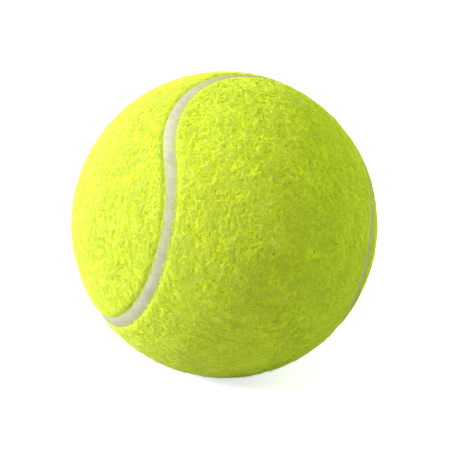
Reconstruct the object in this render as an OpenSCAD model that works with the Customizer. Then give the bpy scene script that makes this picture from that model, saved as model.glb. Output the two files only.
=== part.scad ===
/* [Ball] */
// Outside diameter over the felt
ball_d = 67; // [65.6:0.1:68.4]
// Thickness of the felt cloth
felt_t = 3.2; // [2.6:0.1:3.8]
// Thickness of the adhesive coat on the back of each felt panel
back_coat_t = 0.3; // [0.2:0.05:0.5]
// Bond line left between faces that are cemented together
bond_gap = 0.02; // [0.01:0.01:0.05]

/* [Rubber core] */
// Wall of each half shell
core_wall = 3.3; // [2.8:0.1:3.8]
// Thickness of the cement film dipped over the joined core
core_coat_t = 0.2; // [0.1:0.05:0.4]
// Thickness of the cement between the two half shells
joint_t = 0.2; // [0.1:0.05:0.4]
// Bevel ground on the outer edge of each rim
rim_bevel = 0.4; // [0.2:0.05:0.7]
// Radius rounded onto the inner edge of each rim
rim_round = 0.8; // [0.5:0.1:1.2]
// Height of the cement bead squeezed out inside the joint
bead_h = 0.5; // [0.3:0.1:0.5]

/* [Seam] */
// Width of the seam rubber where the eye sees it
strip_w = 3; // [2.4:0.1:3.6]
// Width of the seam rubber where it meets the core
root_w = 1.8; // [1.4:0.1:2.2]
// Depth of the seam rubber's edges below the felt
strip_sink = 0.4; // [0.3:0.1:1.1]
// Rise of the middle of the strip above its edges
strip_crown = 0.2; // [0.1:0.05:0.4]
// Radius rolled onto the felt along the seam
shoulder_r = 2; // [1.6:0.1:2.4]
// Height that a felt shoulder's circle stands proud of the felt, so that it ends in a soft crease
shoulder_rise = 0.08; // [0.04:0.01:0.15]

/* [Panel outline] */
// Angle from the middle of a panel's waist to the middle of the seam, in degrees
waist_angle = 44.2; // [40:0.1:46]
// Turn of the seam about the first axis, in degrees
seam_tip = -20.5; // [-90:0.5:90]
// Turn of the seam about the second axis, in degrees
seam_lean = 35.5; // [-90:0.5:90]
// Turn of the seam about the upright axis, in degrees
seam_turn = 66; // [-180:0.5:180]

/* [Hidden] */
$fn = 120;

// Radii from the felt inward to the air chamber
felt_r = ball_d / 2;
felt_in_r = felt_r - felt_t;
back_out_r = felt_in_r - bond_gap;
back_in_r = back_out_r - back_coat_t;
coat_out_r = back_in_r - bond_gap;
coat_in_r = coat_out_r - core_coat_t;
core_r = coat_in_r - bond_gap;
chamber_r = core_r - core_wall;

// The core's joint: the height of the upper rim, and the radius where its outer bevel starts
rim_z = joint_t / 2 + bond_gap;
bevel_x = core_r - rim_bevel;

// Overrun of every cut past the face that it opens
cut_over = felt_t / 2;
far_r = felt_r + cut_over;

// The seam is four arcs of a circle on the ball, one round each lobe of the panels. Neighbouring
// arcs touch on the equator, where each passes smoothly into the next.
lobe_lift = atan((cos(45) - sin(waist_angle)) / cos(waist_angle));
lobe_angle = 90 - waist_angle - lobe_lift;
arc_half = 90 + atan(sin(lobe_lift));

// Each arc stops just short of the equator, and a round knuckle, a little larger than the seam's
// cross-section, makes the corner there whole.
knuckle_over = bond_gap * 2.5;
arc_stop = atan2(root_w / 16, felt_r * sin(lobe_angle));
$swell = 0;

// Radii of the seam rubber's foot and of its visible edges
foot_r = coat_out_r + bond_gap;
strip_edge_r = felt_r - strip_sink;

// Half the width of the seam rubber at a radius, with an allowance
function half_at(r, add) = add + root_w / 2
    + (strip_w - root_w) / 2 * (r - foot_r) / (strip_edge_r - foot_r);

// The angle of a triangle between its sides a and b, opposite its side c
function corner_angle(a, b, c) = acos((pow(a, 2) + pow(b, 2) - pow(c, 2)) / (2 * a * b));

// The felt's shoulders are circles that start at the visible edges of the seam rubber
shoulder_out_r = felt_r - shoulder_r + shoulder_rise;
edge_half = half_at(strip_edge_r, bond_gap);
edge_far_r = norm([strip_edge_r, edge_half]);
shoulder_at = atan2(edge_half, strip_edge_r) + corner_angle(shoulder_out_r, edge_far_r, shoulder_r);

// A hollow ball between two radii
module round_shell(outer_r, inner_r) {
    difference() {
        sphere(r = outer_r);
        sphere(r = inner_r);
    }
}

// Turns the seam's own frame to where the seam lies on the ball
module to_seam() {
    rotate([seam_tip, seam_lean, seam_turn]) children();
}

// Lobes 0 and 2 belong to panel b and lift towards its waist, and lobes 1 and 3 belong to panel a
function lobe_way(k) = k % 2 == 0 ? 1 : -1;

// Turns the upright axis to the middle of a lobe
module to_lobe(k) {
    rotate([0, 90 - lobe_way(k) * lobe_lift, 45 + 90 * k]) children();
}

// Sweeps a cross-section along the seam's four arcs. The cross-section's X runs outward from the
// ball's centre, and its Y runs across the seam.
module seam_arcs() {
    for (k = [0:3]) to_lobe(k) rotate([0, 0, (lobe_way(k) > 0 ? 180 : 0) - arc_half + arc_stop])
        rotate_extrude(angle = 2 * (arc_half - arc_stop)) rotate(90 - lobe_angle) children();
}

// Turns the same cross-section into the knuckles where the arcs meet
module seam_knuckles() {
    for (k = [0:3]) rotate([0, 90, 90 * k]) rotate_extrude() intersection() {
        rotate(90) let ($swell = knuckle_over) children();
        square([far_r, 2 * far_r]);
    }
}

// The wedge between two radii that the seam rubber and its channel are cut from
module wedge(low_r, high_r, add) {
    low = half_at(low_r, add);
    high = half_at(high_r, add);
    polygon([[low_r, -low], [high_r, -high], [high_r, high], [low_r, low]]);
}

// Cross-section of the seam's channel: sloping walls below, and the felt's rolled shoulders above
module channel_section() {
    shoulder_x = shoulder_out_r * cos(shoulder_at);
    shoulder_y = shoulder_out_r * sin(shoulder_at) + $swell;
    reach_y = shoulder_y - sqrt(pow(shoulder_r, 2) - pow(shoulder_r - shoulder_rise, 2)) / 2;
    wedge(coat_in_r, far_r, bond_gap + $swell);
    difference() {
        translate([shoulder_x, -reach_y]) square([far_r - shoulder_x, 2 * reach_y]);
        for (side = [-1, 1]) translate([shoulder_x, side * shoulder_y]) circle(r = shoulder_r);
    }
}

// Cross-section of the seam rubber: the wedge under a low crown
module strip_section() {
    half = strip_w / 2 + $swell;
    rise = strip_crown + $swell;
    crown_r = (pow(half, 2) + pow(rise, 2)) / (2 * rise);
    intersection() {
        wedge(foot_r, far_r, $swell);
        translate([strip_edge_r + rise - crown_r, 0]) circle(r = crown_r);
    }
}

// A cone from near the ball's centre out over one round lobe, its side inside the channel
module lobe_cone(k) {
    near_r = back_in_r / 2;
    slope = tan(lobe_angle - atan2(root_w / 4, back_in_r));
    to_lobe(k) translate([0, 0, near_r])
        cylinder(h = far_r - near_r, r1 = near_r * slope, r2 = far_r * slope);
}

// The space that one panel fills. Its sides run along inside the seam's channel.
module panel_space(way) {
    own = way > 0 ? 1 : 0;
    difference() {
        translate([0, 0, way > 0 ? 0 : -far_r]) cylinder(h = far_r, r = far_r);
        for (k = [1 - own, 3 - own]) lobe_cone(k);
    }
    for (k = [own, own + 2]) lobe_cone(k);
}

// One of the two like panels: a hollow ball, parted by the channel
module panel(outer_r, inner_r, way) {
    intersection() {
        difference() {
            difference() {
                round_shell(outer_r, inner_r);
                to_seam() seam_knuckles() channel_section();
            }
            to_seam() seam_arcs() channel_section();
        }
        to_seam() panel_space(way);
    }
}

// Half of the core, above the joint. Its rim is bevelled outside and rounded inside.
module half_shell() {
    far = core_r + cut_over;
    rotate_extrude() difference() {
        intersection() {
            difference() {
                circle(r = core_r);
                circle(r = chamber_r);
            }
            translate([0, rim_z]) square([core_r, core_r]);
        }
        polygon([[bevel_x, rim_z - cut_over], [bevel_x, rim_z],
                 [far, rim_z + far - bevel_x], [far, rim_z - cut_over]]);
        difference() {
            translate([chamber_r - cut_over, rim_z - cut_over])
                square([rim_round + cut_over, rim_round + cut_over]);
            translate([chamber_r + rim_round, rim_z + rim_round]) circle(r = rim_round);
        }
    }
}

module core_half_upper() {
    color("#4a4a4c") half_shell();
}

module core_half_lower() {
    color("#56565a") mirror([0, 0, 1]) half_shell();
}

// The film between the rims, with the bead that squeezes into their rounded inner edges
module core_joint_cement() {
    bead_x = chamber_r + rim_round;
    color("#b59a62") rotate_extrude() {
        translate([bead_x, -joint_t / 2]) square([bevel_x - bead_x, joint_t]);
        difference() {
            translate([chamber_r, -bead_h]) square([rim_round, 2 * bead_h]);
            for (side = [-1, 1]) translate([bead_x, side * (rim_z + rim_round)])
                circle(r = rim_round + bond_gap);
        }
    }
}

// The dipped film, with the ridge that fills the bevels round the joint
module core_cement_coat() {
    ridge_x = bevel_x + bond_gap;
    film_x = (coat_in_r + coat_out_r) / 2;
    ridge_z = joint_t / 2;
    color("#c9b27a") {
        round_shell(coat_out_r, coat_in_r);
        rotate_extrude() polygon([[ridge_x, -ridge_z], [film_x, -ridge_z - film_x + ridge_x],
                                  [film_x, ridge_z + film_x - ridge_x], [ridge_x, ridge_z]]);
    }
}

module panel_a_back_coat() {
    color("#d8cfae") panel(back_out_r, back_in_r, 1);
}

module panel_b_back_coat() {
    color("#d2c8a4") panel(back_out_r, back_in_r, -1);
}

module felt_panel_a() {
    color("#c9dd2f") panel(felt_r, felt_in_r, 1);
}

module felt_panel_b() {
    color("#d3e63c") panel(felt_r, felt_in_r, -1);
}

module seam_rubber() {
    color("#dcdccb") to_seam() {
        seam_arcs() strip_section();
        seam_knuckles() strip_section();
    }
}

core_half_upper();
core_half_lower();
core_joint_cement();
core_cement_coat();
panel_a_back_coat();
panel_b_back_coat();
felt_panel_a();
felt_panel_b();
seam_rubber();
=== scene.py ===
"""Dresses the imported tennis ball: two felt panels with a matted nap, the seam rubber and the core inside.

Every length is in metres and every place is in the ball's own frame: its centre is the origin and +Z is up.
The felt's outline repeats the part's named sizes, so the cloth ends where the seam rubber's edge begins.
"""

from __future__ import annotations

import logging
import math
from dataclasses import dataclass
from enum import Enum
from itertools import combinations

import bpy
import numpy as np
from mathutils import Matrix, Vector

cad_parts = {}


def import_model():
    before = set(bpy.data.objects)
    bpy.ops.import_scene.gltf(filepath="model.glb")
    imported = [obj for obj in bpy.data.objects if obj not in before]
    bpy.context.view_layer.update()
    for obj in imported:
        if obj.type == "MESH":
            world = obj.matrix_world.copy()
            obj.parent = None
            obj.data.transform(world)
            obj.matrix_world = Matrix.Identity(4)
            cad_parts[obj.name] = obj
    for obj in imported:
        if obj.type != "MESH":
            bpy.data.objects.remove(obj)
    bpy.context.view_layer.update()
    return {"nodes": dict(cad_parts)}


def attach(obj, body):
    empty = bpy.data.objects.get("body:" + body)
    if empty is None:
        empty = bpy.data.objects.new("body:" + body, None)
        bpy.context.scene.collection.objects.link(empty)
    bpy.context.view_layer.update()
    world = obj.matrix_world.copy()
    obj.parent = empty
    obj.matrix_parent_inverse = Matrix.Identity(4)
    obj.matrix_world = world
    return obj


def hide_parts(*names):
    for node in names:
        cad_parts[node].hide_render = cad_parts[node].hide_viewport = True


log = logging.getLogger("ball")

MM = 0.001
BODY = "root"
ICOSAHEDRON_EDGE = math.radians(63.43)
NOISE_ROUGHNESS = 0.55
# The sides of a strand's tube
TUBE_SIDES = 3
# The colour sockets of a Mix node, which have the same names as its number sockets
MIX_FIRST, MIX_SECOND, MIX_RESULT = 6, 7, 2

Colour = tuple[float, float, float]
Point = tuple[float, float, float]

WHITE: Colour = (1.0, 1.0, 1.0)
BLACK: Colour = (0.0, 0.0, 0.0)


# Shader building


class Wire:
    """One value on its way through a shader, with the arithmetic that adds Math nodes."""

    def __init__(self, tree: Tree, socket: bpy.types.NodeSocket | None) -> None:
        """Holds the socket that the value leaves, or None after an output node."""
        self.tree = tree
        self.socket = socket

    def _math(self, operation: str, first: object, second: object) -> Wire:
        """Joins two wires or numbers with a Math node."""
        return self.tree.node("ShaderNodeMath", {"operation": operation}, {0: first, 1: second})

    def __add__(self, other: object) -> Wire:
        """Adds a wire or a number."""
        return self._math("ADD", self, other)

    def __radd__(self, other: object) -> Wire:
        """Adds this wire to a number."""
        return self._math("ADD", other, self)

    def __sub__(self, other: object) -> Wire:
        """Takes away a wire or a number."""
        return self._math("SUBTRACT", self, other)

    def __rsub__(self, other: object) -> Wire:
        """Takes this wire away from a number."""
        return self._math("SUBTRACT", other, self)

    def __mul__(self, other: object) -> Wire:
        """Multiplies by a wire or a number."""
        return self._math("MULTIPLY", self, other)

    def __rmul__(self, other: object) -> Wire:
        """Multiplies a number by this wire."""
        return self._math("MULTIPLY", other, self)

    def __abs__(self) -> Wire:
        """Drops the sign."""
        return self.tree.node("ShaderNodeMath", {"operation": "ABSOLUTE"}, {0: self})

    def clamped(self) -> Wire:
        """Keeps the value between 0 and 1."""
        return self.tree.node("ShaderNodeClamp", {}, {"Value": self})


class Tree:
    """The nodes of one material or world, with the one method that makes any of them."""

    def __init__(self, owner: bpy.types.Material | bpy.types.World) -> None:
        """Empties the node tree of a new material or world."""
        owner.use_nodes = True
        self.owner = owner
        self.nodes = owner.node_tree.nodes
        self.links = owner.node_tree.links
        self.nodes.clear()

    def node(
        self, kind: str, settings: dict[str, object], inputs: dict[object, object], out: object = 0
    ) -> Wire:
        """Makes a node, sets it up and feeds its sockets.

        Args:
            kind: The node's type.
            settings: Its own settings, and "stops" for a colour ramp's (place, colour) pairs.
            inputs: What goes into each socket, by its name or number: a wire or a plain value.
            out: The name or number of the socket that leaves it.

        Returns:
            The wire that leaves the node, with no socket if it is an output node.
        """
        made = self.nodes.new(kind)
        for key, value in settings.items():
            if key == "stops":
                elements = made.color_ramp.elements
                while len(elements) < len(value):
                    elements.new(1.0)
                for element, (place, colour) in zip(elements, value):
                    element.position = place
                    element.color = solid(colour)
            else:
                setattr(made, key, value)
        for key, value in inputs.items():
            if isinstance(value, Wire):
                self.links.new(value.socket, made.inputs[key])
            else:
                made.inputs[key].default_value = value
        return Wire(self, made.outputs[out] if made.outputs else None)

    def place(self) -> Wire:
        """The point of the surface in the ball's own frame."""
        return self.node("ShaderNodeTexCoord", {}, {}, "Object")

    def noise(self, place: Wire, scale: float, detail: float = 2.0, twist: float = 0.0) -> Wire:
        """Soft noise from 0 to 1: its scale in lumps to a metre, its finer layers and how far it twists."""
        sockets = {"Vector": place, "Scale": scale, "Detail": detail, "Distortion": twist}
        return self.node("ShaderNodeTexNoise", {}, {**sockets, "Roughness": NOISE_ROUGHNESS}, "Fac")

    def ridges(self, place: Wire, scale: float, sharpness: float) -> Wire:
        """Thin winding lines, about this many to a metre: 1 on a line and falling to 0 between lines."""
        off_line = abs(self.noise(place, scale, detail=1.5, twist=0.6) - 0.5) * sharpness
        return (1.0 - off_line).clamped()

    def shifted(self, place: Wire, by: Point) -> Wire:
        """The same place moved, so that a second pattern differs from the first."""
        return self.node("ShaderNodeVectorMath", {"operation": "ADD"}, {0: place, 1: by})

    def tones(self, value: Wire, stops: list[tuple[float, Colour]]) -> Wire:
        """Turns a value into a colour by a ramp of stops."""
        return self.node("ShaderNodeValToRGB", {"stops": stops}, {"Fac": value}, "Color")

    def blend(self, share: Wire | float, first: object, second: object) -> Wire:
        """Mixes two colours, by how much of the second there is."""
        inputs = {"Factor": share, MIX_FIRST: solid(first), MIX_SECOND: solid(second)}
        return self.node("ShaderNodeMix", {"data_type": "RGBA"}, inputs, MIX_RESULT)

    def bump(self, height: Wire, depth: float, strength: float) -> Wire:
        """A normal bumped by a height from 0 to 1, which lie this deep apart in metres."""
        return self.node("ShaderNodeBump", {}, {"Height": height, "Distance": depth, "Strength": strength})

    def finish(self, inputs: dict[object, object]) -> bpy.types.Material:
        """Ends the material in a Principled shader.

        Args:
            inputs: What goes into each of the shader's sockets.

        Returns:
            The material.
        """
        shader = self.node("ShaderNodeBsdfPrincipled", {}, inputs)
        self.node("ShaderNodeOutputMaterial", {}, {"Surface": shader})
        return self.owner


def solid(colour: object) -> object:
    """Gives a plain colour its fourth number, and passes a wire on."""
    return colour if isinstance(colour, Wire) else (*colour, 1.0)


# Finishes


@dataclass(frozen=True)
class ClothFinish:
    """The dyed woven and matted ground of the felt, which shows between the strands of its nap. Its tones are
    darker than the strands' dye, painted shade under the nap, and darkest in the matting's hollows.
    """

    # Tones darker than the strands' dye: painted shade under the nap, darkest in the matting's hollows
    pit: Colour = (0.175, 0.228, 0.003)
    body: Colour = (0.330, 0.420, 0.007)
    crest: Colour = (0.440, 0.555, 0.012)
    haze: Colour = (0.90, 1.0, 0.35)
    patches_per_m: float = 90.0
    strands_per_m: float = 1300.0
    crossings_per_m: float = 1700.0
    crossing_shift: Point = (0.31, 0.17, 0.53)
    sharpness: float = 9.0
    depth: float = 0.12 * MM

    def material(self, name: str) -> bpy.types.Material:
        """Builds the finish.

        Args:
            name: The material's name.

        Returns:
            The material.
        """
        tree = Tree(bpy.data.materials.new(name))
        place = tree.place()
        patches = tree.noise(place, self.patches_per_m, 3.0)
        strands = tree.ridges(place, self.strands_per_m, self.sharpness)
        aside = tree.shifted(place, self.crossing_shift)
        crossing = tree.ridges(aside, self.crossings_per_m, self.sharpness)
        matting = (strands * 0.6 + crossing * 0.5).clamped()
        # The tone falls towards the darkest colour where the matting's bump lies low: painted shade in its
        # hollows, with random patches over it
        tone = (matting * 0.75 + patches * 0.35).clamped()
        inputs = {
            "Base Color": tree.tones(tone, [(0.0, self.pit), (0.45, self.body), (1.0, self.crest)]),
            "Roughness": 0.9,
            "Specular IOR Level": 0.1,
            "Sheen Weight": 0.12,
            "Sheen Roughness": 0.5,
            "Sheen Tint": solid(self.haze),
            "Normal": tree.bump(matting, self.depth, 0.7),
        }
        return tree.finish(inputs)


@dataclass(frozen=True)
class NapFinish:
    """One dye shade of the strands, which take it unevenly and let a little light through."""

    dye: Colour
    spread: float = 0.15
    bleach: float = 0.010
    haze: Colour = (0.95, 1.0, 0.32)
    patches_per_m: float = 170.0
    fibres_per_m: float = 3200.0
    fibre_shift: Point = (0.7, 0.2, 0.4)
    glow_reach: float = 0.12 * MM
    glow_tint: Colour = (1.0, 1.0, 0.8)

    def material(self, name: str) -> bpy.types.Material:
        """Builds the finish.

        Args:
            name: The material's name.

        Returns:
            The material.
        """
        tree = Tree(bpy.data.materials.new(name))
        place = tree.place()
        patches = tree.noise(place, self.patches_per_m)
        fibres = tree.noise(tree.shifted(place, self.fibre_shift), self.fibres_per_m, 1.0)
        uptake = ((patches - 0.5) * 0.9 + (fibres - 0.5) * 1.3 + 0.5).clamped()
        deep = tuple(value * (1 - self.spread) for value in self.dye)
        pale = tuple(value * (1 + self.spread) + self.bleach for value in self.dye)
        inputs = {
            "Base Color": tree.tones(uptake, [(0.15, deep), (0.5, self.dye), (0.85, pale)]),
            "Roughness": 0.66,
            "Specular IOR Level": 0.28,
            "Sheen Weight": 0.16,
            "Sheen Roughness": 0.45,
            "Sheen Tint": solid(self.haze),
            "Subsurface Weight": 0.5,
            "Subsurface Radius": self.glow_tint,
            "Subsurface Scale": self.glow_reach,
        }
        return tree.finish(inputs)


class Shade(Enum):
    """The dye shades of the strands; the palest, whitish one, for loose fibres on top of the nap, is partly
    painted highlight.
    """

    OLIVE = NapFinish((0.358, 0.466, 0.005))
    LEAF = NapFinish((0.375, 0.488, 0.006))
    LEMON = NapFinish((0.394, 0.512, 0.007))
    PALE = NapFinish((0.416, 0.536, 0.010))
    # Whitish loose strands on top of the nap: a paler dye, partly painted highlight
    BLEACHED = NapFinish((0.510, 0.625, 0.043))


@dataclass(frozen=True)
class SeamRubberFinish:
    """The cured seam rubber: warm pale grey, dusty, and stained by the felt's dye along its edges."""

    chalky: Colour = (0.262, 0.268, 0.165)
    clean: Colour = (0.220, 0.229, 0.125)
    dull: Colour = (0.165, 0.175, 0.080)
    stain: Colour = (0.232, 0.268, 0.052)
    crest_r: float = 33.30 * MM
    edge_r: float = 33.13 * MM
    dust_per_m: float = 420.0
    blots_per_m: float = 160.0
    blot_shift: Point = (0.2, 0.4, 0.1)
    grain_per_m: float = 1700.0
    depth: float = 0.08 * MM

    def material(self, name: str) -> bpy.types.Material:
        """Builds the finish.

        Args:
            name: The material's name.

        Returns:
            The material.
        """
        tree = Tree(bpy.data.materials.new(name))
        place = tree.place()
        dust = tree.noise(place, self.dust_per_m, 4.0)
        blots = tree.noise(tree.shifted(place, self.blot_shift), self.blots_per_m)
        grain = tree.noise(place, self.grain_per_m)
        specks = (dust * 1.1 + grain * 1.2 - 0.65).clamped()
        grey = tree.tones(specks, [(0.1, self.dull), (0.5, self.clean), (0.9, self.chalky)])
        # The strip is crowned, so a point's distance from the ball's centre tells how near the edge it is
        radius = tree.node("ShaderNodeVectorMath", {"operation": "LENGTH"}, {0: place}, "Value")
        edge = ((self.crest_r - radius) * (1.0 / (self.crest_r - self.edge_r))).clamped()
        stained = (edge * (0.35 + blots * 0.9) + (blots - 0.5) * 0.5).clamped()
        inputs = {
            "Base Color": tree.blend(stained, grey, self.stain),
            "Roughness": (0.62 + grain * 0.2).clamped(),
            "Specular IOR Level": 0.35,
            "Normal": tree.bump(dust * 0.6 + grain * 0.4, self.depth, 0.6),
        }
        return tree.finish(inputs)


@dataclass(frozen=True)
class MouldedRubberFinish:
    """The core's dark moulded rubber, with a fine mill grain and a faint bloom."""

    base: Colour = (0.045, 0.045, 0.050)
    bloom: Colour = (0.110, 0.108, 0.105)
    clouds_per_m: float = 120.0
    grain_per_m: float = 1800.0
    depth: float = 0.05 * MM

    def material(self, name: str) -> bpy.types.Material:
        """Builds the finish.

        Args:
            name: The material's name.

        Returns:
            The material.
        """
        tree = Tree(bpy.data.materials.new(name))
        place = tree.place()
        cloud = tree.noise(place, self.clouds_per_m, 4.0)
        grain = tree.noise(place, self.grain_per_m)
        inputs = {
            "Base Color": tree.tones((cloud * 1.4 - 0.2).clamped(), [(0.2, self.base), (0.9, self.bloom)]),
            "Roughness": (0.5 + cloud * 0.3).clamped(),
            "Normal": tree.bump(grain, self.depth, 0.5),
        }
        return tree.finish(inputs)


@dataclass(frozen=True)
class CementFinish:
    """Dried cement or latex: a cloudy film with brush streaks and small pinholes."""

    thin: Colour
    thick: Colour
    roughness: float = 0.45
    clouds_per_m: float = 150.0
    pins_per_m: float = 2200.0
    depth: float = 0.06 * MM

    def material(self, name: str) -> bpy.types.Material:
        """Builds the finish.

        Args:
            name: The material's name.

        Returns:
            The material.
        """
        tree = Tree(bpy.data.materials.new(name))
        place = tree.place()
        cloud = tree.noise(place, self.clouds_per_m, 3.0, 0.8)
        pins = tree.noise(place, self.pins_per_m, 1.0)
        inputs = {
            "Base Color": tree.tones((cloud * 1.5 - 0.25).clamped(), [(0.1, self.thin), (0.9, self.thick)]),
            "Roughness": (self.roughness + cloud * 0.2).clamped(),
            "Normal": tree.bump(cloud * 0.7 + pins * 0.3, self.depth, 0.5),
        }
        return tree.finish(inputs)


# Shapes


class Side(Enum):
    """Which of the two like panels, by the sign of the seam frame's upright axis that it holds."""

    A = 1
    B = -1

    @property
    def letter(self) -> str:
        """The panel's letter in piece names."""
        return self.name.lower()


@dataclass(frozen=True)
class SeamPath:
    """The seam's four arcs on the ball, each round one lobe, as the part's source lays them out."""

    waist_angle: float = 44.2
    tip: float = -20.5
    lean: float = 35.5
    turn: float = 66.0

    @property
    def lift(self) -> float:
        """How far a lobe's middle lies off the seam's equator, in radians."""
        waist = math.radians(self.waist_angle)
        return math.atan((math.cos(math.pi / 4) - math.sin(waist)) / math.cos(waist))

    @property
    def lobe_angle(self) -> float:
        """The angular radius of a lobe's arc."""
        return math.pi / 2 - math.radians(self.waist_angle) - self.lift

    def to_ball(self) -> np.ndarray:
        """The turn from the seam's own frame to the ball's, as a matrix."""
        a, b, c = (math.radians(v) for v in (self.tip, self.lean, self.turn))
        about_x = np.array([[1, 0, 0], [0, math.cos(a), -math.sin(a)], [0, math.sin(a), math.cos(a)]])
        about_y = np.array([[math.cos(b), 0, math.sin(b)], [0, 1, 0], [-math.sin(b), 0, math.cos(b)]])
        about_z = np.array([[math.cos(c), -math.sin(c), 0], [math.sin(c), math.cos(c), 0], [0, 0, 1]])
        return about_z @ about_y @ about_x

    def lobe_axes(self, way: int) -> np.ndarray:
        """The middles of the two lobes on one side of the equator.

        Args:
            way: 1 for the lobes lifted up the seam's axis, -1 for the others.

        Returns:
            Two unit vectors, as rows.
        """
        first = 45.0 if way > 0 else 135.0
        rows = []
        for azimuth in (first, first + 180.0):
            turn = math.radians(azimuth)
            level = math.cos(self.lift)
            rows.append((level * math.cos(turn), level * math.sin(turn), way * math.sin(self.lift)))
        return np.array(rows)

    def _nearest_lobe(self, points: np.ndarray) -> tuple[np.ndarray, np.ndarray, np.ndarray]:
        """Finds the lobe whose arc bounds each point.

        Args:
            points: Unit vectors in the seam's frame, as rows.

        Returns:
            The lobes' axes, the angles from them, and which points lie above the equator.
        """
        above = points[:, 2] >= 0
        axes = np.empty_like(points)
        for way, mask in ((1, above), (-1, ~above)):
            pair = self.lobe_axes(way)
            axes[mask] = pair[np.argmax(points[mask] @ pair.T, axis=1)]
        angles = np.arccos(np.clip((points * axes).sum(1), -1, 1))
        return axes, angles, above

    def inside(self, points: np.ndarray, side: Side) -> np.ndarray:
        """How far each point lies inside a panel, from the seam's middle line.

        Args:
            points: Unit vectors in the seam's frame, as rows.
            side: The panel.

        Returns:
            Angles in radians, negative outside the panel.
        """
        _, angles, above = self._nearest_lobe(points)
        for_b = np.where(above, self.lobe_angle - angles, angles - self.lobe_angle)
        return for_b if side is Side.B else -for_b

    def moved_to(self, points: np.ndarray, side: Side, depth: float | np.ndarray) -> np.ndarray:
        """Moves points straight across the seam until they lie at one depth inside a panel.

        Args:
            points: Unit vectors in the seam's frame, as rows.
            side: The panel.
            depth: The wanted angle from the seam's middle line.

        Returns:
            The moved unit vectors.
        """
        axes, _, above = self._nearest_lobe(points)
        signed = np.asarray(depth) * (1.0 if side is Side.B else -1.0)
        wanted = np.where(above, self.lobe_angle - signed, self.lobe_angle + signed)[:, None]
        across = points - (points * axes).sum(1)[:, None] * axes
        across /= np.linalg.norm(across, axis=1)[:, None]
        return np.cos(wanted) * axes + np.sin(wanted) * across


@dataclass(frozen=True)
class FeltProfile:
    """The felt's radius by the angle from the seam's middle: its edge, rolled shoulder and round ball."""

    ball_r: float = 33.5 * MM
    inner_r: float = 30.32 * MM
    edge_half: float = 1.46 * MM
    edge_r: float = 33.14 * MM
    shoulder_r: float = 2.0 * MM
    shoulder_rise: float = 0.08 * MM
    shoulder_at: float = math.radians(4.88)
    ground_drop: float = 0.14 * MM
    settle: float = math.radians(3.0)
    strip_half: float = 1.5 * MM
    strip_edge_r: float = 33.1 * MM
    strip_crown: float = 0.2 * MM

    @property
    def edge_at(self) -> float:
        """The angle of the cloth's cut edge from the seam's middle."""
        return self.edge_half / self.edge_r

    def radius(self, inside: np.ndarray) -> np.ndarray:
        """The ground's radius.

        Args:
            inside: Angles inside the panel from the seam's middle line.

        Returns:
            The radius at each of them.
        """
        middle_r = self.ball_r - self.shoulder_r + self.shoulder_rise
        off = inside - self.shoulder_at
        rolled = middle_r * np.cos(off) + np.sqrt(
            np.maximum(self.shoulder_r**2 - (middle_r * np.sin(off)) ** 2, 0.0)
        )
        past = np.clip(off / self.settle, 0.0, 1.0)
        eased = self.ball_r + self.shoulder_rise * (1.0 - past * past * (3.0 - 2.0 * past))
        share = np.clip((inside - self.edge_at) / (self.shoulder_at - self.edge_at), 0.0, 1.0)
        made = np.where(off < 0, rolled, eased) - self.ground_drop * share
        # Past the felt's edge the nap lies on the crown of the seam rubber
        across = np.clip(inside * self.strip_edge_r / self.strip_half, -1.0, 1.0)
        strip = self.strip_edge_r + self.strip_crown * (1.0 - across * across)
        return np.maximum(made, np.maximum(self.edge_r, strip))


@dataclass(frozen=True)
class Lumps:
    """Soft random lumps over space: a sum of plane waves whose directions and phases are drawn once."""

    seed: int
    shortest: float
    longest: float
    count: int = 40

    def at(self, points: np.ndarray) -> np.ndarray:
        """The lumps' height.

        Args:
            points: Places in metres, as rows.

        Returns:
            Heights that mostly lie between -1 and 1.
        """
        rng = np.random.default_rng(self.seed)
        ways = rng.normal(size=(self.count, 3))
        ways /= np.linalg.norm(ways, axis=1)[:, None]
        lengths = rng.uniform(self.shortest, self.longest, self.count)
        phases = rng.uniform(0, 2 * math.pi, self.count)
        total = np.zeros(len(points))
        for way, length, phase in zip(ways, lengths, phases):
            total += np.sin(points @ way * (2 * math.pi / length) + phase)
        return total * math.sqrt(1.0 / self.count)


def ball_grid(steps: int) -> tuple[np.ndarray, np.ndarray]:
    """An even triangle grid over the unit ball.

    Args:
        steps: How many pieces each edge of an icosahedron is cut into.

    Returns:
        The unit vectors of its points, and its triangles.
    """
    golden = (1 + math.sqrt(5)) / 2
    corners = np.array(
        [(-1, golden, 0), (1, golden, 0), (-1, -golden, 0), (1, -golden, 0)]
        + [(0, -1, golden), (0, 1, golden), (0, -1, -golden), (0, 1, -golden)]
        + [(golden, 0, -1), (golden, 0, 1), (-golden, 0, -1), (-golden, 0, 1)]
    )
    corners /= np.linalg.norm(corners[0])
    # The twenty faces are the triples of corners that lie less than a right angle apart
    near = corners @ corners.T > 0
    triples = combinations(range(len(corners)), 3)
    faces = [(i, j, k) for i, j, k in triples if near[i, j] and near[j, k] and near[i, k]]
    rows, columns = np.meshgrid(np.arange(steps + 1), np.arange(steps + 1), indexing="ij")
    keep = rows + columns <= steps
    number = np.full(keep.shape, -1)
    number[keep] = np.arange(keep.sum())
    u, v = rows[keep] / steps, columns[keep] / steps
    up = [(r, c) for r in range(steps) for c in range(steps - r)]
    down = [(r, c) for r, c in up if r + c < steps - 1]
    local = np.array(
        [(number[r, c], number[r + 1, c], number[r, c + 1]) for r, c in up]
        + [(number[r + 1, c], number[r + 1, c + 1], number[r, c + 1]) for r, c in down]
    )
    points, triangles = [], []
    for i, j, k in faces:
        a, b, c = corners[i], corners[j], corners[k]
        patch = a + u[:, None] * (b - a) + v[:, None] * (c - a)
        turned = np.dot(np.cross(b - a, c - a), a + b + c) < 0
        triangles.append((local[:, ::-1] if turned else local) + len(u) * len(points))
        points.append(patch / np.linalg.norm(patch, axis=1)[:, None])
    every, corner = np.concatenate(points), np.concatenate(triangles)
    _, first, back = np.unique(np.round(every, 7), axis=0, return_index=True, return_inverse=True)
    return every[first], back.reshape(-1)[corner]


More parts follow.
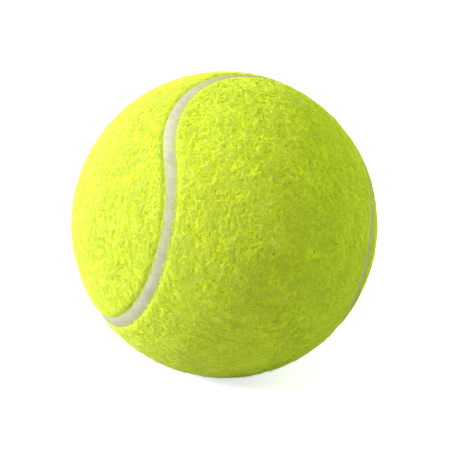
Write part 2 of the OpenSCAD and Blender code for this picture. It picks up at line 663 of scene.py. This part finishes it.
def mesh_object(
    name: str,
    points: np.ndarray,
    faces: list[np.ndarray],
    crease: float | None = None,
    bake_map: np.ndarray | None = None,
) -> bpy.types.Object:
    """Makes a smooth mesh object from arrays.

    Args:
        name: The piece's name.
        points: Its points in metres, as rows.
        faces: Arrays of faces, each of one number of corners.
        crease: The angle in radians past which an edge stays sharp, or None for a wholly smooth mesh.
        bake_map: The place of every face corner on a UV map named OFBake for baking, or None.

    Returns:
        The object, linked into the scene.
    """
    mesh = bpy.data.meshes.new(name)
    corners = np.concatenate([f.reshape(-1) for f in faces])
    counts = np.concatenate([np.full(len(f), f.shape[1]) for f in faces])
    mesh.vertices.add(len(points))
    mesh.vertices.foreach_set("co", np.ascontiguousarray(points, dtype=np.float32).reshape(-1))
    mesh.loops.add(len(corners))
    mesh.loops.foreach_set("vertex_index", corners.astype(np.int32))
    mesh.polygons.add(len(counts))
    starts = np.cumsum(counts) - counts
    mesh.polygons.foreach_set("loop_start", starts.astype(np.int32))
    mesh.update(calc_edges=True)
    mesh.validate()
    mesh.polygons.foreach_set("use_smooth", np.ones(len(counts), dtype=bool))
    if crease is not None:
        mesh.set_sharp_from_angle(angle=crease)
    if bake_map is not None:
        layer = mesh.uv_layers.new(name="OFBake")
        layer.data.foreach_set("uv", bake_map.astype(np.float32).reshape(-1))
    made = bpy.data.objects.new(name, mesh)
    bpy.context.scene.collection.objects.link(made)
    return made


# The ball's sub-assemblies


@dataclass
class FeltCloth:
    """One dog-bone panel of felt: a closed cloth with its relief, its rolled shoulders and its cut edge."""

    side: Side
    seam: SeamPath
    profile: FeltProfile
    steps: int = 94
    snap_share: float = 0.56
    edge_slack: float = 1e-6
    crease: float = math.radians(60)
    broad: Lumps = Lumps(11, 2.5 * MM, 7.0 * MM)
    broad_relief: float = 0.04 * MM
    fine: Lumps = Lumps(12, 0.9 * MM, 1.6 * MM)
    fine_relief: float = 0.03 * MM
    pits: Lumps = Lumps(22, 0.8 * MM, 1.7 * MM)
    pit_level: float = 0.95
    pit_slope: float = 2.5
    pit_depth: float = 0.13 * MM
    relief_fades: float = math.radians(1.5)
    flat_width: float = 50 * MM
    flat_length: float = 156 * MM
    flat_area: float = 0.0062

    @property
    def name(self) -> str:
        """The piece's name."""
        return f"felt_{self.side.letter}_cloth"

    def heights(self, points: np.ndarray) -> np.ndarray:
        """The ground's radius with its relief.

        Args:
            points: Unit vectors in the seam's frame, as rows.

        Returns:
            The radius at each of them.
        """
        inside = self.seam.inside(points, self.side)
        places = points * self.profile.ball_r
        broad = self.broad.at(places) * self.broad_relief
        fine = self.fine.at(places) * self.fine_relief
        deep = (self.pits.at(places) - self.pit_level) * self.pit_slope
        sunk = np.clip(deep, 0.0, 1.0) * self.pit_depth
        fade = np.clip((inside - self.profile.edge_at) / self.relief_fades, 0.0, 1.0)
        return self.profile.radius(inside) + (broad + fine - sunk) * fade

    def over_pits(self, points: np.ndarray) -> np.ndarray:
        """Which points, given as unit vectors in the seam's frame, lie over a pit of the ground."""
        return self.pits.at(points * self.profile.ball_r) > self.pit_level

    def build(self) -> bpy.types.Object:
        """Builds the cloth.

        Returns:
            The cloth, not yet dressed.
        """
        points, triangles = ball_grid(self.steps)
        edge_at = self.profile.edge_at
        spacing = ICOSAHEDRON_EDGE / self.steps
        inside = self.seam.inside(points, self.side)
        # The points nearest the cut edge move onto it, so that the edge is smooth
        near = np.abs(inside - edge_at) < self.snap_share * spacing
        points[near] = self.seam.moved_to(points[near], self.side, edge_at)
        inside[near] = edge_at
        held = triangles[(inside[triangles] > edge_at - self.edge_slack).all(1)]
        used, held = np.unique(held, return_inverse=True)
        held = held.reshape(-1, 3)
        points = points[used]
        outer = points * self.heights(points)[:, None]
        inner = points * self.profile.inner_r
        count = len(points)
        edges = np.concatenate([held[:, [0, 1]], held[:, [1, 2]], held[:, [2, 0]]])
        _, first, uses = np.unique(np.sort(edges, axis=1), axis=0, return_index=True, return_counts=True)
        rim = edges[first[uses == 1]]
        walls = np.stack([rim[:, 1], rim[:, 0], rim[:, 0] + count, rim[:, 1] + count], axis=1)
        places = np.concatenate([outer, inner]) @ self.seam.to_ball().T
        shells = np.concatenate([held, held[:, ::-1] + count])
        return mesh_object(self.name, places, [shells, walls], self.crease)

    def dress(self, cloth: bpy.types.Object, nap: list[bpy.types.Object]) -> None:
        """Gives the cloth its finish, hangs it on the ball's body and hides the CAD panel that it stands for.

        Args:
            cloth: The built cloth.
            nap: The pieces of its nap; not used.
        """
        cloth.data.materials.append(ClothFinish().material(self.name))
        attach(cloth, BODY)
        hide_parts(f"felt_panel_{self.side.letter}")
        f"panel_{self.side.letter}_back_coat"
        log.info("%s: %d faces", cloth.name, len(cloth.data.polygons))


@dataclass(frozen=True)
class Strands:
    """One kind of strand in the nap: how high it lies, and how many, thick, long and curly they are."""

    layer: str
    shade: Shade
    lowest: float
    highest: float
    count: int
    thick: float
    thin: float
    mottle: float = 0.0
    longest: float = 2.4 * MM
    shortest: float = 0.8 * MM
    arch: float = 0.045 * MM
    curl: float = 560.0
    rings: int = 5
    flatness: float = 0.5
    edge_band: float = 0.0
    overhang: float = math.radians(0.55)

    @property
    def name(self) -> str:
        """The kind's name in piece names."""
        return f"{self.layer}_{self.shade.name.lower()}"


@dataclass
class Nap:
    """The matted nap on one panel: curly strands that lie over each other and over the edge of the seam."""

    cloth: FeltCloth
    seed: int
    kinds: tuple[Strands, ...]
    creep: Lumps = Lumps(23, 14 * MM, 40 * MM, 12)
    usual_creep: float = 0.85
    creep_spread: float = 0.35
    creep_limits: tuple[float, float] = (0.4, 1.4)
    closest: Point = (-0.341, -0.904, 0.256)
    widest: Point = (-0.374, -0.644, 0.668)
    closest_gain: float = 1.7
    widest_gain: float = -0.6
    spot_reach: float = 13 * MM
    least_creep: float = 0.2
    tuft_share: float = 0.55
    tuft_spread: float = 0.16 * MM
    tuft_bend: float = 0.22
    tuft_lift: float = 0.7
    tuft_turn: float = 0.9
    own_turn: float = 0.4
    turn_drift: float = 0.7
    patches: Lumps = Lumps(21, 2.2 * MM, 6.0 * MM)
    usual_chance: float = 0.55
    chance_spread: float = 0.40
    edge_scatter: float = 0.75
    pit_share: float = 0.04
    spare: float = 2.2
    tip_thick: float = 0.28
    tip_lift: float = 0.25
    arch_middle: float = 0.45
    arch_power: float = 0.7
    reach_power: float = 1.3
    wobble: float = 0.018 * MM

    def _tufts(self, rng: np.random.Generator, count: int) -> np.ndarray:
        """Groups strands into tufts: a strand that follows lies beside the last one that leads.

        Args:
            rng: The source of the draws.
            count: How many strands.

        Returns:
            The number of each strand's leader, its own where it leads.
        """
        follows = rng.random(count) < self.tuft_share
        follows[0] = False
        return np.maximum.accumulate(np.where(follows, 0, np.arange(count)))

    def _starts(
        self, rng: np.random.Generator, kind: Strands, leader: np.ndarray
    ) -> tuple[np.ndarray, np.ndarray]:
        """Draws where strands start and which way they head.

        Args:
            rng: The source of the draws.
            kind: The kind of strand.
            leader: The number of each strand's leader.

        Returns:
            Unit vectors in the seam's frame, and unit headings across them.
        """
        count = len(leader)
        found: list[np.ndarray] = []
        least = self.cloth.profile.edge_at
        while sum(len(f) for f in found) < count:
            tries = rng.normal(size=(count, 3))
            tries /= np.linalg.norm(tries, axis=1)[:, None]
            if kind.edge_band:
                deeper = rng.uniform(0.0, kind.edge_band, len(tries))
                tries = self.cloth.seam.moved_to(tries, self.cloth.side, least + deeper)
            tries = tries[self.cloth.seam.inside(tries, self.cloth.side) > least]
            spots = tries * self.cloth.profile.ball_r
            chance = self.usual_chance + self.chance_spread * kind.mottle * self.patches.at(spots)
            found.append(tries[rng.random(len(tries)) < chance])
        places = np.concatenate(found)[:count]
        headings = rng.normal(size=(count, 3))
        follows = (leader != np.arange(count))[:, None]
        aside = rng.normal(size=(count, 3)) * (self.tuft_spread / self.cloth.profile.ball_r)
        bent = rng.normal(size=(count, 3)) * self.tuft_bend
        places = np.where(follows, places[leader] + aside, places)
        headings = np.where(follows, headings[leader] + bent, headings)
        places /= np.linalg.norm(places, axis=1)[:, None]
        if kind.edge_band:
            out = self.cloth.seam.moved_to(places, self.cloth.side, least - kind.edge_band) - places
            headings = headings * self.edge_scatter + out / np.linalg.norm(out, axis=1)[:, None]
        headings -= (headings * places).sum(1)[:, None] * places
        headings /= np.linalg.norm(headings, axis=1)[:, None]
        return places, headings

    def _creep(self, places: np.ndarray) -> np.ndarray:
        """How far the nap has crept over the seam, against its usual reach.

        Args:
            places: Unit vectors in the seam's frame, as rows.

        Returns:
            Factors of the reach, largest where the photo shows the seam narrowest and least where widest.
        """
        spots = places * self.cloth.profile.ball_r
        factors = np.clip(self.usual_creep + self.creep_spread * self.creep.at(spots), *self.creep_limits)
        for way, gain in ((self.closest, self.closest_gain), (self.widest, self.widest_gain)):
            spot = np.array(way) @ self.cloth.seam.to_ball() * self.cloth.profile.ball_r
            off = np.linalg.norm(spots - spot, axis=1) / self.spot_reach
            factors += gain * np.exp(-(off**2))
        return np.maximum(factors, self.least_creep)

    def _paths(
        self, rng: np.random.Generator, kind: Strands, leader: np.ndarray
    ) -> tuple[np.ndarray, np.ndarray]:
        """Walks each strand over the ball, turning as it goes. The strands of a tuft turn much alike.

        Args:
            rng: The source of the draws.
            kind: The kind of strand.
            leader: The number of each strand's leader.

        Returns:
            Unit vectors of the strands' points, and the headings there, strand by strand.
        """
        count = len(leader)

        def turns() -> np.ndarray:
            """Draws how sharply each strand turns."""
            shared = rng.normal(size=count)[leader] * self.tuft_turn
            return (shared + rng.normal(size=count) * self.own_turn) * kind.curl

        place, heading = self._starts(rng, kind, leader)
        length = rng.uniform(kind.shortest, kind.longest, count)
        step = (length / (kind.rings - 1) / self.cloth.profile.ball_r)[:, None]
        bend = turns()
        places, headings = [place], [heading]
        for _ in range(kind.rings - 1):
            moved = place * np.cos(step) + heading * np.sin(step)
            heading = heading * np.cos(step) - place * np.sin(step)
            bend = bend + turns() * self.turn_drift
            turn = (bend * step[:, 0] * self.cloth.profile.ball_r)[:, None]
            heading = heading * np.cos(turn) + np.cross(moved, heading) * np.sin(turn)
            place = moved
            places.append(place)
            headings.append(heading)
        return np.stack(places, axis=1), np.stack(headings, axis=1)

    def strands(self, kind: Strands, seed: int) -> tuple[np.ndarray, list[np.ndarray]]:
        """Builds the tubes of one kind of strand.

        Args:
            kind: The kind of strand.
            seed: The seed of its draws.

        Returns:
            The tubes' points in the ball's frame, and their faces.
        """
        rng = np.random.default_rng(seed)
        tries = int(kind.count * self.spare)
        leader = self._tufts(rng, tries)
        places, headings = self._paths(rng, kind, leader)
        flat = places.reshape(-1, 3)
        inside = self.cloth.seam.inside(flat, self.cloth.side).reshape(tries, kind.rings)
        creep = self._creep(places[:, kind.rings // 2])
        past_edge = rng.uniform(0.0, 1.0, tries) ** self.reach_power * kind.overhang * creep
        reach = self.cloth.profile.edge_at - past_edge
        pitted = self.cloth.over_pits(flat).reshape(tries, kind.rings).any(1) & (kind.edge_band == 0)
        clear = ~pitted | (rng.random(tries) < self.pit_share)
        kept = np.nonzero((inside.min(1) > reach) & clear)[0][: kind.count]
        places, headings = places[kept], headings[kept]
        count = len(kept)
        along = np.linspace(0.0, 1.0, kind.rings)
        rise = np.sin(math.pi * along) ** self.arch_power
        swell = self.tip_thick + (1.0 - self.tip_thick) * rise
        thick = rng.uniform(kind.thin, kind.thick, count)[:, None] * swell[None]
        own, shared = rng.random(tries), rng.random(tries)[leader]
        share = ((1.0 - self.tuft_lift) * own + self.tuft_lift * shared)[kept][:, None]
        lift = kind.lowest + (kind.highest - kind.lowest) * share
        wobble = rng.normal(size=(count, kind.rings)) * self.wobble
        ground = self.cloth.heights(places.reshape(-1, 3)).reshape(count, kind.rings)
        lifted = lift * (self.tip_lift + (1.0 - self.tip_lift) * rise)
        height = ground + lifted + kind.arch * (rise - self.arch_middle) + wobble
        middle = places * height[..., None]
        aside = np.cross(places, headings)
        rings = []
        for turn in np.radians(90.0 + 360.0 / TUBE_SIDES * np.arange(TUBE_SIDES)):
            out = aside * math.cos(turn) + places * (math.sin(turn) * kind.flatness)
            rings.append(middle + out * thick[..., None])
        points = np.stack(rings, axis=2).reshape(-1, 3) @ self.cloth.seam.to_ball().T
        return points, self._tube_faces(count, kind.rings)

    @staticmethod
    def _tube_faces(count: int, rings: int) -> list[np.ndarray]:
        """The faces of the strands' tubes, with closed ends.

        Args:
            count: How many tubes.
            rings: How many rings each has.

        Returns:
            The four-sided faces and the end triangles.
        """
        ring = np.arange(rings - 1)[:, None] * TUBE_SIDES
        beyond = ring + TUBE_SIDES
        side = np.arange(TUBE_SIDES)
        following = (side + 1) % TUBE_SIDES
        quads = np.stack([ring + side, ring + following, beyond + following, beyond + side], axis=2)
        first = np.arange(count)[:, None, None] * rings * TUBE_SIDES
        caps = np.stack([side[::-1], (rings - 1) * TUBE_SIDES + side])
        walls = (quads.reshape(1, -1, 4) + first).reshape(-1, 4)
        return [walls, (caps[None] + first).reshape(-1, TUBE_SIDES)]

    @staticmethod
    def _bake_map(count: int, rings: int) -> np.ndarray:
        """Lays each strand in a square cell of its own, its length along the cell and its sides across it.

        Args:
            count: How many tubes.
            rings: How many rings each has.

        Returns:
            The place of every face corner, in the faces' order.
        """
        cells = math.ceil(math.sqrt(count))
        corner = np.stack([np.arange(count) % cells, np.arange(count) // cells], axis=1)[:, None, None, :]
        ring, side = np.divmod(np.arange((rings - 1) * TUBE_SIDES), TUBE_SIDES)
        along = np.stack([ring, ring, ring + 1, ring + 1], axis=1) / (rings - 1)
        across = np.stack([side, side + 1, side + 1, side], axis=1) / TUBE_SIDES
        # The strand's sides fill the middle of its cell, and its ends lie in the margins past them
        end_margin, side_margin = 0.12, 0.08
        spread = [end_margin + (1 - 2 * end_margin) * along, side_margin + (1 - 2 * side_margin) * across]
        quads = np.stack(spread, axis=2)[None] + corner
        base, tip, low, high = 0.02, 0.09, 0.3, 0.7
        first_end = np.array([(base, low), (base, high), (tip, (low + high) / 2)])
        last_end = first_end * (-1, 1) + (1, 0)
        caps = np.stack([first_end, last_end])[None] + corner
        return np.concatenate([quads.reshape(-1, 2), caps.reshape(-1, 2)]) / cells

    def build(self) -> list[bpy.types.Object]:
        """Builds and dresses the nap.

        Returns:
            Its pieces, one for each kind of strand.
        """
        made = []
        for number, kind in enumerate(self.kinds):
            points, faces = self.strands(kind, self.seed + number)
            name = f"felt_{self.cloth.side.letter}_nap_{kind.name}"
            count = len(points) // (TUBE_SIDES * kind.rings)
            piece = mesh_object(name, points, faces, bake_map=self._bake_map(count, kind.rings))
            triangles = 2 * len(faces[0]) + len(faces[1])
            piece.data.materials.append(kind.shade.value.material(name))
            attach(piece, BODY)
            log.info("%s: %d triangles", name, triangles)
            made.append(piece)
        return made


@dataclass
class InnerBall:
    """What the felt covers, and the seam rubber between the panels: the CAD solids with their finishes."""

    nodes: dict[str, bpy.types.Object]

    def dress(self) -> None:
        """Gives each carried-over CAD node its material."""
        rubber = MouldedRubberFinish().material("core_rubber")
        film = CementFinish((0.42, 0.33, 0.16), (0.58, 0.49, 0.28)).material("core_cement")
        bead = CementFinish((0.36, 0.26, 0.11), (0.50, 0.38, 0.18), 0.35).material("joint_cement")
        latex = CementFinish((0.62, 0.58, 0.40), (0.74, 0.71, 0.55), 0.6).material("back_coat")
        finishes = {
            "core_half_upper": rubber,
            "core_half_lower": rubber,
            "core_cement_coat": film,
            "core_joint_cement": bead,
            "panel_a_back_coat": latex,
            "panel_b_back_coat": latex,
            "seam_rubber": SeamRubberFinish().material("seam_rubber"),
        }
        for name, finish in finishes.items():
            mesh = self.nodes[name].data
            if not mesh.materials:
                mesh.materials.append(finish)
            for number in range(len(mesh.materials)):
                mesh.materials[number] = finish
            log.info("%s: %s", name, finish.name)


# The photograph's view


@dataclass(frozen=True)
class SoftLight:
    """One softbox, aimed at the ball: its angles in degrees, distance and width in metres, power in watts."""

    name: str
    azimuth: float
    elevation: float
    distance: float
    width: float
    power: float
    colour: Colour

    def place(self) -> None:
        """Puts the light in the scene."""
        data = bpy.data.lights.new(self.name, "AREA")
        data.shape = "DISK"
        data.size = self.width
        data.energy = self.power
        data.color = self.colour
        made = bpy.data.objects.new(self.name, data)
        bpy.context.scene.collection.objects.link(made)
        made.location = towards(self.azimuth, self.elevation) * self.distance
        made.rotation_euler = (-made.location).to_track_quat("-Z", "Y").to_euler()


def towards(azimuth: float, elevation: float) -> Vector:
    """The way from the ball's centre, in degrees to the camera's right and degrees above the level."""
    turn, rise = math.radians(azimuth), math.radians(elevation)
    return Vector((math.sin(turn) * math.cos(rise), -math.cos(turn) * math.cos(rise), math.sin(rise)))


@dataclass
class Studio:
    """The pale floor, the soft lights, the pale surroundings and the camera."""

    floor_z: float = -33.5 * MM
    floor_width: float = 8.0
    floor_white: float = 0.72
    glow_from: float = 0.08
    glow_over: float = 0.25
    near_glow: float = 0.76
    camera_elevation: float = 12.0
    camera_distance: float = 0.335
    focal_pixels: float = 1526.0
    image_pixels: float = 450.0
    sensor: float = 36.0
    nearest: float = 0.01
    furthest: float = 50.0
    centre_x: float = 224.3
    centre_y: float = 224.6
    room_light: float = 0.03
    room_white: float = 1.0
    lights: tuple[SoftLight, ...] = (
        SoftLight("key_left", -76.5, 28.0, 0.75, 0.36, 18.4, (0.88, 0.84, 1.0)),
        SoftLight("rim_left", -112.0, 28.0, 0.75, 0.80, 12.5, (0.14, 0.12, 1.0)),
        SoftLight("overhead", 45.0, 72.0, 0.75, 0.80, 7.2, (1.0, 0.93, 0.34)),
        SoftLight("rim_right", 100.0, 24.0, 0.75, 0.80, 5.2, (0.70, 1.0, 0.62)),
    )

    def build(self) -> None:
        """Builds the studio."""
        self._floor()
        self._world()
        for light in self.lights:
            light.place()
        self._camera()

    def _floor(self) -> None:
        """Lays the floor under the ball."""
        half = self.floor_width / 2
        signs = ((-1, -1), (1, -1), (1, 1), (-1, 1))
        corners = np.array([(x * half, y * half, self.floor_z) for x, y in signs])
        floor = mesh_object("floor", corners, [np.array([[0, 1, 2, 3]])])
        tree = Tree(bpy.data.materials.new("pale_floor"))
        place = tree.place()
        reach = tree.node("ShaderNodeVectorMath", {"operation": "LENGTH"}, {0: place}, "Value")
        far = ((reach - self.glow_from) * (1.0 / self.glow_over)).clamped()
        # Only the camera sees the glow, which keeps the floor white and adds no light to the ball
        glow = tree.tones(far, [(0.0, (self.near_glow,) * 3), (1.0, WHITE)])
        seen = tree.node("ShaderNodeLightPath", {}, {}, "Is Camera Ray")
        inputs = {
            "Base Color": solid((self.floor_white,) * 3),
            "Roughness": 0.85,
            "Specular IOR Level": 0.1,
            "Emission Color": tree.blend(seen, BLACK, glow),
            "Emission Strength": 1.0,
        }
        floor.data.materials.append(tree.finish(inputs))

    def _world(self) -> None:
        """Surrounds the ball with faint light, which the camera sees as white."""
        bpy.context.scene.world = bpy.data.worlds.new("pale_room")
        tree = Tree(bpy.context.scene.world)
        seen = tree.node("ShaderNodeLightPath", {}, {}, "Is Camera Ray")
        strength = seen * (self.room_white - self.room_light) + self.room_light
        room = tree.node("ShaderNodeBackground", {}, {"Color": solid(WHITE), "Strength": strength})
        tree.node("ShaderNodeOutputWorld", {}, {"Surface": room})

    def _camera(self) -> None:
        """Sets the camera where the photograph was taken from."""
        data = bpy.data.cameras.new("camera")
        data.sensor_fit = "HORIZONTAL"
        data.sensor_width = self.sensor
        data.lens = self.focal_pixels / self.image_pixels * self.sensor
        data.shift_x = (self.image_pixels / 2 - self.centre_x) / self.image_pixels
        data.shift_y = (self.centre_y - self.image_pixels / 2) / self.image_pixels
        data.clip_start = self.nearest
        data.clip_end = self.furthest
        camera = bpy.data.objects.new("camera", data)
        bpy.context.scene.collection.objects.link(camera)
        camera.location = towards(0.0, self.camera_elevation) * self.camera_distance
        camera.rotation_euler = (-camera.location).to_track_quat("-Z", "Y").to_euler()
        bpy.context.scene.camera = camera


# Each layer's lowest and highest strands, how many there are of a shade, and their thickest and thinnest
LAYERS = {
    "low": (-0.03 * MM, 0.04 * MM, 7000, 0.095 * MM, 0.055 * MM),
    "middle": (0.00 * MM, 0.07 * MM, 6000, 0.072 * MM, 0.040 * MM),
    "top": (0.02 * MM, 0.10 * MM, 4200, 0.070 * MM, 0.035 * MM),
}
MOTTLE = {Shade.OLIVE: -0.45, Shade.LEAF: -0.2, Shade.LEMON: 0.2, Shade.PALE: 0.4}
KINDS = (
    *(
        Strands(layer, shade, *sizes, mottle)
        for layer, sizes in LAYERS.items()
        for shade, mottle in MOTTLE.items()
    ),
    *(
        Strands(
            "fringe",
            shade,
            lowest=0.0,
            highest=0.08 * MM,
            count=4200,
            thick=0.065 * MM,
            thin=0.035 * MM,
            longest=1.6 * MM,
            shortest=0.6 * MM,
            edge_band=math.radians(1.4),
            overhang=math.radians(0.85),
        )
        for shade in (Shade.LEAF, Shade.LEMON)
    ),
    Strands("loose", Shade.PALE, 0.05 * MM, 0.45 * MM, 6000, 0.026 * MM, 0.014 * MM),
    Strands("loose", Shade.BLEACHED, 0.05 * MM, 0.20 * MM, 6000, 0.038 * MM, 0.014 * MM),
)
SEEDS = {Side.A: 100, Side.B: 200}


def main() -> None:
    """Builds the dressed ball in its studio."""
    logging.basicConfig(level=logging.INFO, format="%(message)s")
    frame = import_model()
    Studio().build()
    seam, profile = SeamPath(), FeltProfile()
    for side, seed in SEEDS.items():
        cloth = FeltCloth(side, seam, profile)
        piece = cloth.build()
        nap = Nap(cloth, seed, KINDS).build()
        cloth.dress(piece, nap)
    InnerBall(frame["nodes"]).dress()
    bpy.context.scene.view_settings.view_transform = "Standard"


if __name__ == "__main__":
    main()
